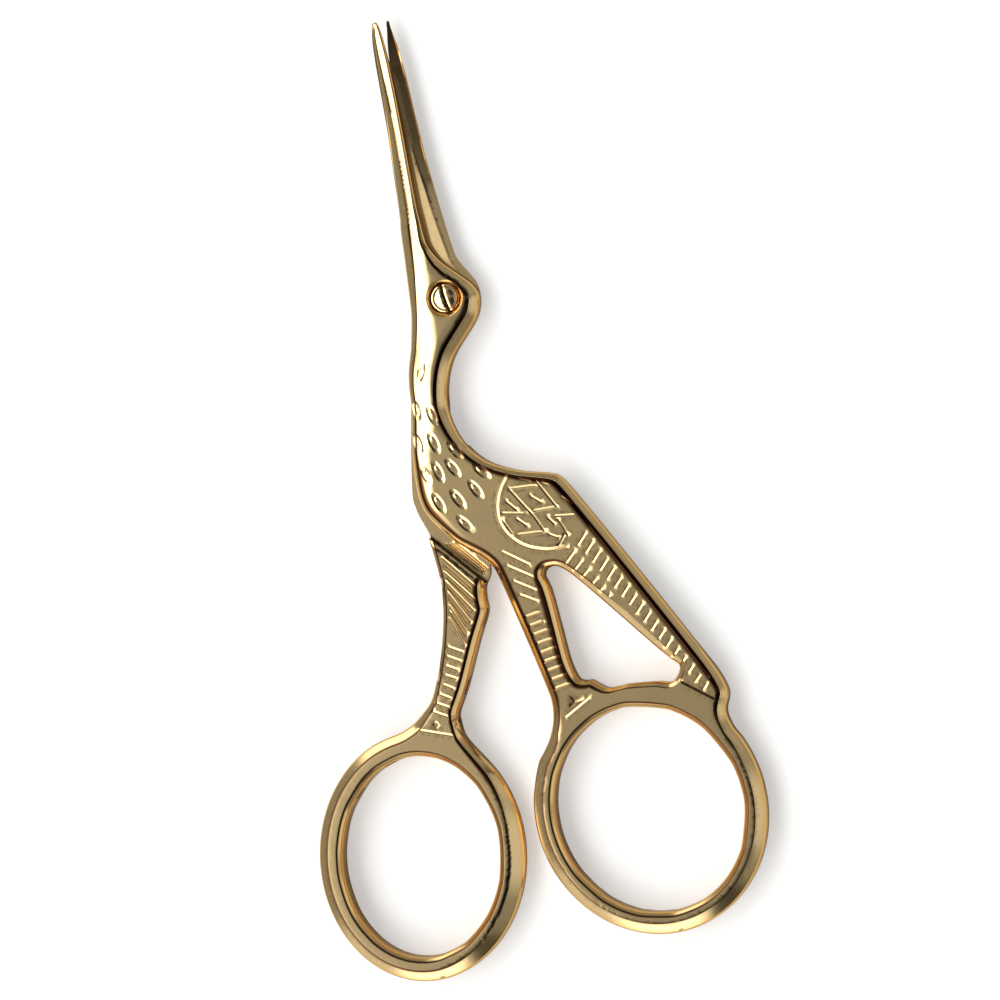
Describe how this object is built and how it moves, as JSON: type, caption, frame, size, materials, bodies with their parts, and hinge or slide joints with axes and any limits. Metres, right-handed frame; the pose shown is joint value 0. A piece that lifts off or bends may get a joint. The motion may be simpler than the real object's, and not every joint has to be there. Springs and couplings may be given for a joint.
{
  "type": "stork embroidery scissors",
  "caption": "Small embroidery scissors shaped as a standing stork, with fine pointed blades as the beak and a finger ring on each leg.",
  "frame": {"origin": "on the pivot axis, in the plane that the back of the closed scissors rests on", "axes": "+Z out of the face with the screw head, +Y along the scissors from the pivot to the tips, +X towards the tail and the front finger ring"},
  "size_m": [0.0557, 0.1157, 0.0036],
  "materials": {
    "gold_plated_steel": "forged steel, polished and gold plated",
    "gold_plated_screw": "turned steel, polished and gold plated"
  },
  "bodies": {
    "front_half": {"front_half": "gold_plated_steel"},
    "rear_half": {"rear_half": "gold_plated_steel", "pivot_screw": "gold_plated_screw"}
  },
  "joints": [
    {"name": "pivot", "type": "hinge", "parent": "front_half", "child": "rear_half", "pos_m": [0, 0, 0.0018], "axis": [0, 0, -1], "range_deg": [-1.4, 65]}
  ]
}
